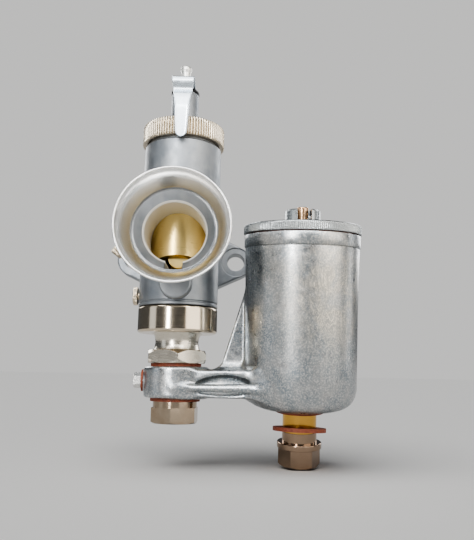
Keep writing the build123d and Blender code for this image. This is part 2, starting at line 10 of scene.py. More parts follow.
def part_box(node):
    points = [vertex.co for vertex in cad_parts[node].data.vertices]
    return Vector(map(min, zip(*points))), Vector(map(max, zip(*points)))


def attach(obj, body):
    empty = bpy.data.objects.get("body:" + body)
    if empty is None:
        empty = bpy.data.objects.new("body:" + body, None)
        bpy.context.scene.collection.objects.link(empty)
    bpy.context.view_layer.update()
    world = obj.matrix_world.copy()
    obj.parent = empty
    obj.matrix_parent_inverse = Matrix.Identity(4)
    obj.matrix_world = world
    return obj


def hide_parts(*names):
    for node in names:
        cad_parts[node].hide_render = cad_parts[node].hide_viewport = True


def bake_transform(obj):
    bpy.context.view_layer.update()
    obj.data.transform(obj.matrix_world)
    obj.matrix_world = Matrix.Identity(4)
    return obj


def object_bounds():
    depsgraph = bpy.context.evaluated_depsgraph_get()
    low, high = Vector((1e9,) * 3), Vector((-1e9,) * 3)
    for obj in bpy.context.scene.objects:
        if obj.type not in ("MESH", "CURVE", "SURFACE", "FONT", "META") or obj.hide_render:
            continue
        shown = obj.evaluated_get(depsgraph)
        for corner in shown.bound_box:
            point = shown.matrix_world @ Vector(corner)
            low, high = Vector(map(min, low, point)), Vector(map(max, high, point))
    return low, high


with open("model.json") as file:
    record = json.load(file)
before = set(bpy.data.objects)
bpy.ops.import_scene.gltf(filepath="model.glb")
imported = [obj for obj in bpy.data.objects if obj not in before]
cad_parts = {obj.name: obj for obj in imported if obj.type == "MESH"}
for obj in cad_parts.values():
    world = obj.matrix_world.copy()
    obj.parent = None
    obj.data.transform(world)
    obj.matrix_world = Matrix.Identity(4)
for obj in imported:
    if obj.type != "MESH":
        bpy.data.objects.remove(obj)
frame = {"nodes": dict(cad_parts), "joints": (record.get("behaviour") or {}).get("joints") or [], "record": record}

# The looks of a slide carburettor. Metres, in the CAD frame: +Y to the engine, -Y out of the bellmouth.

MM = 0.001
cad_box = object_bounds()
nodes = frame["nodes"]
joints = {joint["name"]: joint for joint in frame["joints"]}


def axis_frame(origin, direction):
    """A matrix whose +Z runs along direction from origin."""
    turn = Vector((0, 0, 1)).rotation_difference(Vector(direction).normalized())
    return Matrix.Translation(origin) @ turn.to_matrix().to_4x4()


def middle(node):
    low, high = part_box(node)
    return (low + high) / 2


MIXING_X, MIXING_Y = middle("union_nut").x, middle("union_nut").y
MIXING = Matrix.Translation((MIXING_X, MIXING_Y, 0))
lid_joint = joints["lid_turn"]
FLOAT_UP = Vector(lid_joint["axis"]).normalized()
FLOATING = axis_frame(lid_joint["pos_m"], FLOAT_UP)  # its origin is at mid-thickness of the lid


# Materials ---------------------------------------------------------------------------------------

class Shader:
    """A node tree with the few helpers that the finishes below need."""

    def __init__(self, name):
        self.material = bpy.data.materials.new(name)
        self.material.use_nodes = True
        self.tree = self.material.node_tree
        self.principled = self.tree.nodes["Principled BSDF"]
        self.place = self.add("ShaderNodeTexCoord").outputs["Object"]

    def add(self, kind, **settings):
        node = self.tree.nodes.new(kind)
        for key, value in settings.items():
            setattr(node, key, value)
        return node

    def link(self, source, target):
        self.tree.links.new(source, target)

    def feed(self, socket, value):
        """Links a socket, or sets it to a number or a colour."""
        if isinstance(value, (int, float)) and socket.type == "RGBA":
            socket.default_value = (value, value, value, 1)
        elif isinstance(value, (int, float)):
            socket.default_value = value
        elif isinstance(value, tuple):
            socket.default_value = (*value, 1) if socket.type == "RGBA" else value
        else:
            self.link(value, socket)

    def set(self, **values):
        for key, value in values.items():
            self.principled.inputs[key.replace("_", " ")].default_value = value

    def noise(self, scale, detail=3.0, rough=0.5, stretch=None, distortion=0.0):
        """Noise with about scale features per metre, drawn out by stretch along each axis."""
        node = self.add("ShaderNodeTexNoise")
        node.inputs["Scale"].default_value = scale
        node.inputs["Detail"].default_value = detail
        node.inputs["Roughness"].default_value = rough
        node.inputs["Distortion"].default_value = distortion
        source = self.place
        if stretch:
            mapping = self.add("ShaderNodeMapping")
            mapping.inputs["Scale"].default_value = stretch
            self.link(source, mapping.inputs["Vector"])
            source = mapping.outputs["Vector"]
        self.link(source, node.inputs["Vector"])
        return node.outputs["Fac"]

    def vector(self, operation, a, b=None, scale=None):
        node = self.add("ShaderNodeVectorMath", operation=operation)
        self.feed(node.inputs[0], a)
        if b is not None:
            self.feed(node.inputs[1], b)
        if scale is not None:
            self.feed(node.inputs["Scale"], scale)
        return node

    def rings(self, centre, direction, per_metre, detail):
        """Lathe lines: noise that varies only along and away from an axis."""
        away = self.vector("SUBTRACT", self.place, tuple(centre)).outputs[0]
        along = self.vector("DOT_PRODUCT", away, tuple(direction)).outputs["Value"]
        forward = self.add("ShaderNodeCombineXYZ")
        for socket, value in zip(forward.inputs, direction):
            socket.default_value = value
        on_axis = self.vector("SCALE", forward.outputs[0], None, along).outputs[0]
        radius = self.vector("LENGTH", self.vector("SUBTRACT", away, on_axis).outputs[0]).outputs["Value"]
        place = self.math("MULTIPLY_ADD", radius, 0.8, along)
        node = self.add("ShaderNodeTexNoise", noise_dimensions="1D")
        node.inputs["Scale"].default_value = per_metre
        node.inputs["Detail"].default_value = detail
        self.link(place, node.inputs["W"])
        return node.outputs["Fac"]

    def near(self, centre, reach):
        """1 at a point, falling to 0 at reach from it."""
        away = self.vector("DISTANCE", self.place, tuple(centre)).outputs["Value"]
        node = self.add("ShaderNodeMapRange", interpolation_type="SMOOTHSTEP")
        node.inputs["From Max"].default_value = reach
        node.inputs["To Min"].default_value = 1
        node.inputs["To Max"].default_value = 0
        self.link(away, node.inputs["Value"])
        return node.outputs["Result"]

    def ramp(self, factor, *stops):
        """stops are (position, grey or colour)."""
        node = self.add("ShaderNodeValToRGB")
        elements = node.color_ramp.elements
        while len(elements) < len(stops):
            elements.new(0.5)
        for element, (position, tone) in zip(elements, stops):
            element.position = position
            element.color = (*tone, 1) if isinstance(tone, tuple) else (tone, tone, tone, 1)
        self.link(factor, node.inputs["Fac"])
        return node.outputs["Color"]

    def mix(self, factor, a, b):
        node = self.add("ShaderNodeMix", data_type="RGBA")
        self.feed(node.inputs[0], factor)
        self.feed(node.inputs[6], a)
        self.feed(node.inputs[7], b)
        return node.outputs[2]

    def math(self, operation, a, b=0.0, c=0.0):
        node = self.add("ShaderNodeMath", operation=operation)
        for socket, value in zip(node.inputs, (a, b, c)):
            self.feed(socket, value)
        return node.outputs[0]

    def bevel(self, radius):
        """Rounds the sharp edges of the shape in the light, as tumbling or plating does."""
        node = self.add("ShaderNodeBevel", samples=6)
        node.inputs["Radius"].default_value = radius
        return node.outputs["Normal"]

    def bump(self, height, depth, strength, after=None):
        """Relief of a depth in metres, on top of another normal."""
        node = self.add("ShaderNodeBump")
        node.inputs["Strength"].default_value = strength
        node.inputs["Distance"].default_value = depth
        self.link(height, node.inputs["Height"])
        if after is not None:
            self.link(after, node.inputs["Normal"])
        return node.outputs["Normal"]

    def finish(self, colour=None, roughness=None, normal=None):
        for key, source in (("Base Color", colour), ("Roughness", roughness), ("Normal", normal)):
            if source is not None:
                self.link(source, self.principled.inputs[key])
        return self.material


def cast_zinc(name, bore=0.0):
    """Die-cast zinc: a close grey skin with faint flow marks, and inside a bore along Y a pale warm cream that is
    partly the brighter machined metal and partly a painted reflection of the lit brass slide.
    """
    s = Shader(name)
    s.set(Metallic=1.0, IOR=1.5)
    blotches = s.noise(90, 5, distortion=0.6)
    flow = s.noise(260, 4, stretch=(1, 1, 0.35))
    tone = s.ramp(blotches, (0.32, (0.235, 0.255, 0.275)), (0.68, (0.335, 0.35, 0.365)))
    tone = s.mix(s.ramp(flow, (0.45, 0.0), (0.75, 0.5)), tone, (0.41, 0.415, 0.415))
    rough = s.ramp(s.noise(320, 5), (0.3, 0.42), (0.7, 0.56))
    if bore:
        # Inside the bore a pale warm cream is painted: partly the brighter machined metal, partly a painted
        # reflection of the lit brass slide.
        off_axis = s.vector("LENGTH", s.vector("MULTIPLY", s.place, (1, 0, 1)).outputs[0]).outputs["Value"]
        inside = s.math("LESS_THAN", off_axis, bore * MM)
        tone = s.mix(inside, tone, (0.80, 0.78, 0.735))
        rough = s.mix(inside, rough, 0.62)
    normal = s.bump(s.noise(2600, 2), 0.02 * MM, 0.5, s.bevel(0.45 * MM))
    normal = s.bump(s.noise(330, 3), 0.07 * MM, 0.3, normal)
    return s.finish(tone, rough, normal)


def cast_aluminium():
    """Tumbled casting: speckled bright skin, blue-grey in random clouds, with scuffs on the front."""
    s = Shader("cast_aluminium")
    s.set(Metallic=1.0, IOR=1.5)
    speckle = s.noise(1500, 4, 0.65)
    clouds = s.noise(95, 6, 0.62, distortion=0.8)
    tone = s.ramp(
        clouds, (0.30, (0.24, 0.28, 0.31)), (0.52, (0.36, 0.385, 0.40)), (0.72, (0.48, 0.475, 0.465)))
    tone = s.mix(s.ramp(speckle, (0.49, 0.0), (0.58, 0.7)), tone, (0.70, 0.685, 0.66))
    low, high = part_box("float_chamber")
    front = (lid_joint["pos_m"][0] + 9 * MM, low.y + 4 * MM, (low.z + high.z) / 2 + 8 * MM)
    ragged = s.ramp(s.noise(130, 4, distortion=1.0), (0.35, 0.2), (0.6, 1.0))
    patch = s.math("MULTIPLY", s.near(front, 34 * MM), ragged)
    scuff = s.noise(230, 3, 0.55, stretch=(1.7, 1.0, 0.7), distortion=2.8)
    lines = s.ramp(scuff, (0.43, 0.0), (0.48, 1.0), (0.53, 0.0))
    marks = s.math("MULTIPLY", patch, lines)
    tone = s.mix(s.math("MULTIPLY", patch, 0.75), tone, (0.46, 0.425, 0.36))
    tone = s.mix(s.math("MULTIPLY", marks, 0.95), tone, (0.95, 0.88, 0.75))
    rough = s.ramp(s.noise(430, 5), (0.3, 0.24), (0.7, 0.40))
    rough = s.mix(s.math("MULTIPLY", patch, 0.5), rough, 0.44)
    normal = s.bump(speckle, 0.02 * MM, 0.6)
    normal = s.bump(s.noise(240, 3), 0.05 * MM, 0.3, normal)
    normal = s.bump(marks, 0.03 * MM, 0.3, normal)
    return s.finish(tone, rough, normal)


def turned_metal(name, colour, centre, direction, spread, rough, lines=2600, depth=0.008, edge=0.2,
                 tarnish=None):
    """A turned, plated or polished metal with lathe lines about its own axis. depth and edge are in mm."""
    s = Shader(name)
    s.set(Metallic=1.0, IOR=1.5)
    light = tuple(min(1.0, c * (1 + spread)) for c in colour)
    dark = tuple(c * (1 - spread) for c in colour)
    tone = s.ramp(s.noise(150, 4, 0.6), (0.3, dark), (0.7, light))
    if tarnish:
        tone = s.mix(s.ramp(s.noise(75, 5, 0.6, distortion=0.5), (0.5, 0.0), (0.72, 0.6)), tone, tarnish)
    line = s.rings(centre, direction, lines, 3)
    smear = s.noise(420, 4)
    level = s.math("MULTIPLY_ADD", line, 0.6, s.math("MULTIPLY", smear, 0.4))
    roughness = s.ramp(level, (0.3, rough[0]), (0.7, rough[1]))
    normal = s.bump(line, depth * MM, 0.6, s.bevel(edge * MM))
    return s.finish(tone, roughness, normal)


def plated_sheet():
    """Bright zinc on rolled strip: bluish, with faint lengthwise streaks."""
    s = Shader("bright_zinc")
    s.set(Metallic=1.0, IOR=1.5)
    streak = s.noise(700, 3, stretch=(1, 1, 0.12))
    tone = s.ramp(streak, (0.3, (0.70, 0.77, 0.83)), (0.7, (0.78, 0.84, 0.89)))
    rough = s.ramp(s.noise(500, 4), (0.3, 0.24), (0.7, 0.36))
    return s.finish(tone, rough)


def fibre():
    """Vulcanised fibre: dull brick red, a little fuzzy."""
    s = Shader("red_fibre")
    s.set(IOR=1.45, Roughness=0.62)
    tone = s.ramp(s.noise(900, 5), (0.3, (0.12, 0.026, 0.013)), (0.7, (0.24, 0.062, 0.028)))
    return s.finish(tone, None, s.bump(s.noise(2500, 3), 0.05 * MM, 0.8))


def rubber():
    """Moulded black rubber."""
    s = Shader("black_rubber")
    s.set(Roughness=0.6)
    tone = s.ramp(s.noise(800, 4), (0.3, 0.010), (0.7, 0.022))
    return s.finish(tone, None, s.bump(s.noise(3000, 2), 0.03 * MM, 0.5))


UP = (0.0, 0.0, 1.0)
CHAMBER = (MIXING_X, MIXING_Y, 0.0)
BOWL = tuple(lid_joint["pos_m"])
BORE = (0.0, 0.0, 0.0)
LEAN = tuple(FLOAT_UP)
NICKEL = (0.66, 0.565, 0.44)
BRASS = (0.70, 0.53, 0.22)

FINISHES = {
    "zinc_casting": cast_zinc("zinc_casting"),
    "cast_aluminium": cast_aluminium(),
    "polished_aluminium": turned_metal(
        "polished_aluminium", (0.90, 0.895, 0.88), BORE, (0, 1, 0), 0.02, (0.19, 0.27), 2300, 0.003, 0.1),
    "lid_aluminium": turned_metal("lid_aluminium", (0.40, 0.42, 0.425), BOWL, LEAN, 0.05, (0.24, 0.36)),
    "nickel": turned_metal("nickel", NICKEL, CHAMBER, UP, 0.04, (0.10, 0.19)),
    "bright_zinc": plated_sheet(),
    "brass": turned_metal("brass", BRASS, CHAMBER, UP, 0.03, (0.27, 0.31), 3200, 0.002),
    "steel": turned_metal("steel", (0.52, 0.52, 0.52), CHAMBER, UP, 0.05, (0.20, 0.34), edge=0.05),
    "red_fibre": fibre(),
    "black_rubber": rubber(),
}
OF_NODE = {
    "mixing_chamber_body": cast_zinc("zinc_body_painted_bore_sheen", bore=12.7),  # a little more than the bore's radius
    "fuel_union_nut": turned_metal(
        "nickel_union", (0.34, 0.245, 0.175), BOWL, LEAN, 0.08, (0.12, 0.20), edge=0.05,
        tarnish=(0.28, 0.16, 0.10)),
    "banjo_bolt": turned_metal(
        "nickel_bolt", (0.38, 0.31, 0.235), CHAMBER, UP, 0.08, (0.12, 0.20), edge=0.05,
        tarnish=(0.27, 0.19, 0.125)),
    "jet_holder": turned_metal("nickel_holder", (0.66, 0.61, 0.52), CHAMBER, UP, 0.04, (0.20, 0.30)),
    "plug_screw": turned_metal(
        "nickel_plug", (0.86, 0.85, 0.82), CHAMBER, (-1, 0, 0), 0.02, (0.22, 0.3), edge=0.1),
    "cable_adjuster": turned_metal(
        "nickel_adjuster", (0.80, 0.79, 0.75), CHAMBER, UP, 0.03, (0.40, 0.48), depth=0.001, edge=0.02),
    "needle_seat": turned_metal("brass_seat", (0.62, 0.36, 0.09), BOWL, LEAN, 0.05, (0.14, 0.24)),
    "tickler": turned_metal("brass_tickler", (0.62, 0.41, 0.26), BOWL, LEAN, 0.08, (0.18, 0.28), edge=0.06),
    "cap_ring": turned_metal("nickel_ring", (0.50, 0.44, 0.35), CHAMBER, UP, 0.04, (0.20, 0.30), edge=0.04),
}
SLOT_OF = {part["node"]: part["material_slot"] for part in frame["record"]["subparts"]}
for name, node in nodes.items():
    finish = OF_NODE.get(name, FINISHES[SLOT_OF[name]])
    for k in range(len(node.data.materials)):
        node.data.materials[k] = finish
    if not node.data.materials:
        node.data.materials.append(finish)


# Mesh helpers --------------------------------------------------------------------------------------

def eased(points, reach, steps):
    """An open line of (x, y) points with each inner corner rounded over reach on either side."""
    line = [Vector(points[0])]
    for a, b, c in zip(points, points[1:], points[2:]):
        a, b, c = Vector(a), Vector(b), Vector(c)
        r = min(reach, (a - b).length * 0.49, (c - b).length * 0.49)
        start = b + (a - b).normalized() * r
        end = b + (c - b).normalized() * r
        for step in range(steps + 1):
            t = step / steps
            line.append(start * (1 - t) ** 2 + b * 2 * t * (1 - t) + end * t * t)
    line.append(Vector(points[-1]))
    return line


def lathe(bm, outline, steps, place, cut=None):
    """Sweeps a closed (radius, height) outline in mm about Z; cut(angle, radius, height) thins it."""
    rings = []
    for radius, height in outline:
        if radius < 1e-4:
            rings.append([bm.verts.new(place @ Vector((0, 0, height * MM)))])
            continue
        ring = []
        for k in range(steps):
            angle = tau * k / steps
            r = radius - (cut(angle, radius, height) if cut else 0)
            ring.append(bm.verts.new(place @ Vector((r * cos(angle) * MM, r * sin(angle) * MM, height * MM))))
        rings.append(ring)
    for a, b in zip(rings, rings[1:] + rings[:1]):
        if len(a) == 1 and len(b) == 1:
            continue
        for k in range(steps):
            n = (k + 1) % steps
            corners = [a[k % len(a)], a[n % len(a)], b[n % len(b)], b[k % len(b)]]
            bm.faces.new(list(dict.fromkeys(corners)))


def knurl(teeth, depth, low, high, run_out, beyond):
    """A straight knurl's cut outside a radius: rounded V grooves that fade out at both ends."""
    def cut(angle, radius, height):
        if radius < beyond:
            return 0.0
        wave = (0.5 - 0.5 * cos(angle * teeth)) ** 2
        ends = min((height - low) / run_out[0], (high - height) / run_out[1])
        return depth * wave * max(0.0, min(1.0, ends))
    return cut


def piece(name, bm, body, finish, *replaced, sharp=35):
    """Makes the piece, smooth apart from edges sharper than sharp degrees, and rides it on its body."""
    bmesh.ops.recalc_face_normals(bm, faces=bm.faces)
    for face in bm.faces:
        face.smooth = True
    limit = radians(sharp)
    for edge in bm.edges:
        edge.smooth = len(edge.link_faces) == 2 and edge.calc_face_angle(0) < limit
    mesh = bpy.data.meshes.new(name)
    bm.to_mesh(mesh)
    bm.free()
    mesh.materials.append(OF_NODE.get(replaced[0] if replaced else "", FINISHES[finish]))
    made = bpy.data.objects.new(name, mesh)
    bpy.context.scene.collection.objects.link(made)
    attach(made, body)
    if replaced:
        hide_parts(*replaced)


# Knurled rings and heads ---------------------------------------------------------------------------

def levels(low, high, count):
    """Even heights from low to high."""
    return [low + (high - low) * k / count for k in range(count + 1)]


def knurled_band(name, body, finish, place, inside, outer, low, high, teeth, depth, *replaced,
                 steps=8, through=0.0):
    """A ring with a straight knurl, which may run out through its foot.

    inside is its inner radius, or the corners from its top to its foot that close it.
    """
    bm = bmesh.new()
    soft = min(0.35, (high - low) / 6)
    rim = [(outer - soft, low), (outer - soft * 0.3, low + soft * 0.3)]
    rim += [(outer, level) for level in levels(low + soft, high - soft, 6)]
    rim += [(outer - soft * 0.3, high - soft * 0.3), (outer - soft, high)]
    if isinstance(inside, float):
        inside = [(inside, high), (inside, low)]
    cut = knurl(teeth, depth, low - through, high, (soft, soft * 2), outer - soft * (1.5 if through else 0.5))
    lathe(bm, [*rim, *inside], teeth * steps, place, cut)
    piece(name, bm, body, finish, *replaced, sharp=50)


def cap_ring():
    low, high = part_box("cap_ring")
    foot, top = low.z / MM, high.z / MM
    outer = (high.x - low.x) / 2 / MM
    wall = 1.2
    lip_r, thread_r = 12.9, 15.35
    inside = [
        (outer - wall, top), (lip_r, top), (lip_r, top - wall), (thread_r, top - wall), (thread_r, foot)]
    knurled_band(
        "knurled_cap_ring", "ring", "nickel", MIXING, inside, outer, foot, top, 90, 0.72, "cap_ring",
        through=1.0)


def lid_rim():
    half = 3.9 / 2  # of the lid's thickness
    knurled_band(
        "knurled_lid_rim", "lid", "lid_aluminium", FLOATING, 24.2, 24.95, -half + 0.05, half - 0.25,
        190, 0.20, steps=6)


def screw_heads():
    """The throttle stop screw's head and the pilot air screw's, each about its own axis."""
    stop = joints["throttle_stop_turn"]
    place = axis_frame(stop["pos_m"], stop["axis"])
    knurled_band("stop_screw_knurl", "stop_screw", "nickel", place, 2.3, 2.75, 19.9, 23.6, 26, 0.26)
    air = joints["pilot_air_turn"]
    place = axis_frame(air["pos_m"], air["axis"])
    start = air["pos_m"][0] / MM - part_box("pilot_air_screw")[0].x / MM
    knurled_band(
        "air_screw_knurl", "air_screw", "nickel", place, 3.4, 3.9, start - 1.9, start - 0.1, 34, 0.32)


# Locking clip --------------------------------------------------------------------------------------

CLIP_THICK = 0.8
LEAF_TIP_R = 2.6
LEAF_TIP_Z = 46.1  # the centre of the leaf's round tip


def leaf_half_width(z, top):
    """The clip narrows down its leaf to a round tip."""
    stops = ((top, 4.85), (70.3, 4.7), (60.7, 3.4), (LEAF_TIP_Z, LEAF_TIP_R))
    if z < LEAF_TIP_Z:
        return sqrt(max(0.0, LEAF_TIP_R ** 2 - (LEAF_TIP_Z - z) ** 2))
    for (z_high, w_high), (z_low, w_low) in zip(stops, stops[1:]):
        if z >= z_low:
            return w_low + (w_high - w_low) * min(1.0, (z - z_low) / (z_high - z_low))


def locking_clip():
    """A strip bent down from a plate on the tower, with a rolled fold and a bead pressed along each edge."""
    low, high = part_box("locking_clip")
    top = high.z / MM
    tip = low.z / MM
    front = eased([
        (-2.7, top), (-15.0, top), (-16.9, top - 0.9), (-17.5, 70.0), (-17.3, 68.7), (-16.0, 67.2),
        (-16.1, 66.0), (-16.9, 65.0), (-18.4, 63.4), (-19.0, 61.7), (-20.0, 57.0),
        (-20.0, LEAF_TIP_Z), (-20.0, tip + 0.03),
    ], 1.1, 5)
    # The strip is cut finely, and more finely at its tip, so that the round end is smooth.
    fine = [front[0]]
    for a, b in zip(front, front[1:]):
        cuts = max(1, int((b - a).length / (0.25 if b.y < 47.5 else 0.8)))
        fine += [a.lerp(b, (k + 1) / cuts) for k in range(cuts) if (b - a).length > 1e-6]
    bm = bmesh.new()
    loops = []
    half_way = [0.3, 0.6, 0.76, 0.82, 0.86, 0.90, 0.95, 0.985, 1]
    across = [-t for t in reversed(half_way)] + [0] + half_way
    for k, point in enumerate(fine):
        ahead = (fine[min(k + 1, len(fine) - 1)] - fine[max(k - 1, 0)]).normalized()
        outward = Vector((ahead.y, -ahead.x))
        half = max(0.05, leaf_half_width(point.y, top))
        leaf = max(0.0, min(1.0, (62.0 - point.y) / 4)) * min(1.0, half / LEAF_TIP_R)
        loop = []
        for side in (1, -1):
            for t in across if side > 0 else reversed(across):
                edge = max(0.0, abs(t) - 0.94) / 0.06
                fall = 0.28 * edge ** 2 if side > 0 else 0.2 * edge ** 2
                bead = 0.14 * leaf * exp(-(((abs(t) - 0.86) / 0.06) ** 2))
                depth = (bead - fall) if side > 0 else (-CLIP_THICK + fall)
                place = point + outward * depth
                loop.append(bm.verts.new(MIXING @ Vector((t * half * MM, place.x * MM, place.y * MM))))
        loops.append(loop)
    count = len(loops[0])
    for a, b in zip(loops, loops[1:]):
        for k in range(count):
            n = (k + 1) % count
            bm.faces.new((a[k], a[n], b[n], b[k]))
    bm.faces.new(loops[0])
    bm.faces.new(list(reversed(loops[-1])))
    bmesh.ops.remove_doubles(bm, verts=bm.verts, dist=1e-6)
    under, over = top - CLIP_THICK + 0.02, top - 0.02
    lathe(bm, [(2.6, under), (4.95, under), (5.0, top - 0.4), (4.9, over), (2.6, over)], 72, MIXING)
    piece("locking_clip_leaf", bm, "carburettor", "bright_zinc", "locking_clip", sharp=40)


# Springs -------------------------------------------------------------------------------------------

def pressed_spring(node):
    """A still copy of the node's coil in the node's place; the node itself is hidden."""
    coil = bpy.data.objects.new(node + "_coil", nodes[node].data.copy())
    bpy.context.scene.collection.objects.link(coil)
    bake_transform(coil)
    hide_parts(node)


# Float chamber -------------------------------------------------------------------------------------
# The bowl is turned, and the arm, the eye and the web are a distance field meshed where it is zero, so that
# they run into the bowl and into each other in a foundry's fillets. Millimetres, from the chamber's axis.

ARM_Z = joints["float_chamber_swivel"]["pos_m"][2] / MM
ARM_LENGTH = BOWL[0] / MM
BOWL_BASE = -64.7  # the bowl's heights count from the arm's mid-height, and FLOATING's from the lid


def bowl_outline():
    """Outer line of the bowl, foot to mouth, in (radius, height above the arm's mid-height)."""
    corner = [(17.0, -9.4), (19.7, -8.35), (21.7, -6.6), (22.95, -4.2), (23.5, -1.5)]
    side = [(23.55, 8), (23.6, 20), (23.65, 30), (23.85, 40), (24.05, 50), (24.2, 56.6)]
    groove = [(24.15, 56.85), (23.85, 57.0), (23.85, 57.12), (24.45, 57.25), (24.58, 57.5)]
    band = [(24.58, 60), (24.58, 62.1), (24.4, 62.4)]
    return [(0.0, -10.0), (6.0, -10.0), (10.6, -10.0), (13.8, -9.85), *corner, *side, *groove, *band]


def bowl():
    """The turned bowl, open at its mouth and at the hole in its foot."""
    outer = eased(bowl_outline()[3:9], 1.6, 6)
    line = [*bowl_outline()[1:3], *[tuple(p) for p in outer], *bowl_outline()[9:]]
    hollow = [(22.6, 62.4), (22.6, 58.6), (21.4, 58.0), (21.4, -2.6), (20.6, -4.7), (18.4, -5.6)]
    hollow += [(5.0, -5.6), (5.0, -10.0)]
    bm = bmesh.new()
    lathe(bm, [(r, u + BOWL_BASE) for r, u in [*line, *hollow]], 256, FLOATING)
    return bm


def smooth_min(a, b, k):
    """The nearer of two distances, filleted where they are within k of each other."""
    h = np.maximum(k - np.abs(a - b), 0) / k
    return np.minimum(a, b) - h * h * k / 4


def smooth_max(a, b, k):
    """Where two solids overlap, with the edge between them rounded within k."""
    return -smooth_min(-a, -b, k)


def table_of(outline, reach_r, low, high, step):
    """Signed distance to a solid of revolution on a grid of radius and height."""
    r, u = np.meshgrid(np.arange(0, reach_r, step), np.arange(low, high, step), indexing="ij")
    points = np.array([*outline, (0.0, outline[-1][1])])
    far = np.full(r.shape, 1e9)
    inside = np.zeros(r.shape, bool)
    for (ra, ua), (rb, ub) in zip(points, np.roll(points, -1, axis=0)):
        if ra > 1e-6 or rb > 1e-6:
            dr, du = rb - ra, ub - ua
            t = np.clip(((r - ra) * dr + (u - ua) * du) / (dr * dr + du * du), 0, 1)
            far = np.minimum(far, np.hypot(r - ra - t * dr, u - ua - t * du))
        if ua != ub:
            inside ^= ((ua > u) != (ub > u)) & (r < ra + (u - ua) / (ub - ua) * (rb - ra))
    return np.where(inside, -far, far)


class BowlField:
    """The bowl's signed distance, read from a table of radius and height about its own axis."""

    STEP, LOW = 0.25, -30.0

    def __init__(self):
        self.grid = table_of(bowl_outline(), 90, self.LOW, 70, self.STEP)
        self.up = (FLOAT_UP.y, FLOAT_UP.z)

    def at(self, x, y, z):
        """The distance to the bowl, and the height up its axis."""
        dx, dy, dz = x - ARM_LENGTH, y, z - ARM_Z
        u = dy * self.up[0] + dz * self.up[1]
        side = dy * self.up[1] - dz * self.up[0]
        a = np.hypot(dx, side) / self.STEP
        b = (u - self.LOW) / self.STEP
        ia = np.clip(a.astype(int), 0, self.grid.shape[0] - 2)
        ib = np.clip(b.astype(int), 0, self.grid.shape[1] - 2)
        fa, fb = a - ia, b - ib
        g = self.grid
        lower = g[ia, ib] * (1 - fa) + g[ia + 1, ib] * fa
        upper = g[ia, ib + 1] * (1 - fa) + g[ia + 1, ib + 1] * fa
        return lower * (1 - fb) + upper * fb, u


RIDGE_Z = -59.5
RIDGE_END = 37.5


def arched_pocket(x, z, start, end, rise):
    """Distance to a circle's segment that stands on the ridge's line, or hangs from it if rise is below 0."""
    half = (end - start) / 2
    radius = round((half ** 2 + rise ** 2) / (2 * abs(rise)), 2)
    way = 1 if rise > 0 else -1
    disc = np.hypot(x - (start + end) / 2, z - (RIDGE_Z + rise - way * radius)) - radius
    return np.maximum(disc, way * (RIDGE_Z - z))


def beam_field(x, y, z):
    """The arm widens from the eye to the bowl, and each of its sides is sunk above and below the ridge."""
    half_width = 11.2 + (x - 2) * 0.1
    beam = smooth_max(np.abs(y) - half_width, np.abs(z + 57.85) - 5.65, 1.6)
    beam = np.maximum(beam, np.maximum(-x, x - 47))
    core = 9.0 + (x - 20) * 0.1
    for start, end, rise, shallow in ((5.5, 36.0, 4.95, 0.8), (3.5, 37.5, -2.7, 0.0)):
        sunk = smooth_max(arched_pocket(x, z, start, end, rise), core + shallow - np.abs(y), 2.4)
        beam = smooth_max(beam, -sunk, 1.6)
    return beam


def ridge_field(x, y, z):
    """The fuel passage stands out of each side as a rod that thickens and spreads towards the bowl."""
    t = np.clip(x / RIDGE_END, 0, 1)
    away = np.sqrt((x - t * RIDGE_END) ** 2 + (np.abs(y) - (11.5 + 3.2 * t)) ** 2 + (z - RIDGE_Z) ** 2)
    return away - (1.2 + 0.9 * t)


def web_field(x, y, z):
    """A thin plate between the arm and the bowl, with a steep straight edge."""
    foot_x, foot_z = 19.2, -49.6
    run, rise, length = 10.4, 34.4, 35.94
    edge = ((foot_x - x) * rise + (z - foot_z) * run) / length
    web = smooth_max(np.maximum(edge, z + 15.2), np.abs(y) - 1.8, 0.9)
    return np.maximum(web, -55 - z)


def arm_field(x, y, z, turned_bowl):
    """Distance to the eye, the arm and the web, run into the bowl."""
    solid = smooth_min(beam_field(x, y, z), ridge_field(x, y, z), 1.2)
    eye = smooth_max(np.hypot(x, y) - 13.2, np.abs(z + 57.55) - 6.35, 1.4)
    solid = smooth_min(solid, eye, 2.2)
    plug_boss = np.maximum(np.hypot(y, z + 57.0) - 4.6, np.maximum(x + 8, -13.3 - x))
    solid = smooth_min(solid, plug_boss, 0.8)
    solid = smooth_min(solid, web_field(x, y, z), 5.0)
    # Its fillets start a hair under the bowl's skin. It ends inside the bowl's wall and below its mouth.
    shell, height = turned_bowl.at(x, y, z)
    solid = smooth_min(solid, shell + 0.07, np.clip((-44 - z) * 0.4, 1.3, 4.0))
    solid = np.maximum(solid, -(shell + 1.3))
    solid = np.maximum(solid, np.maximum(x - 44, height - 47))
    bolt_hole = np.hypot(x, y) - 6.95
    return smooth_max(solid, -bolt_hole, 0.5)


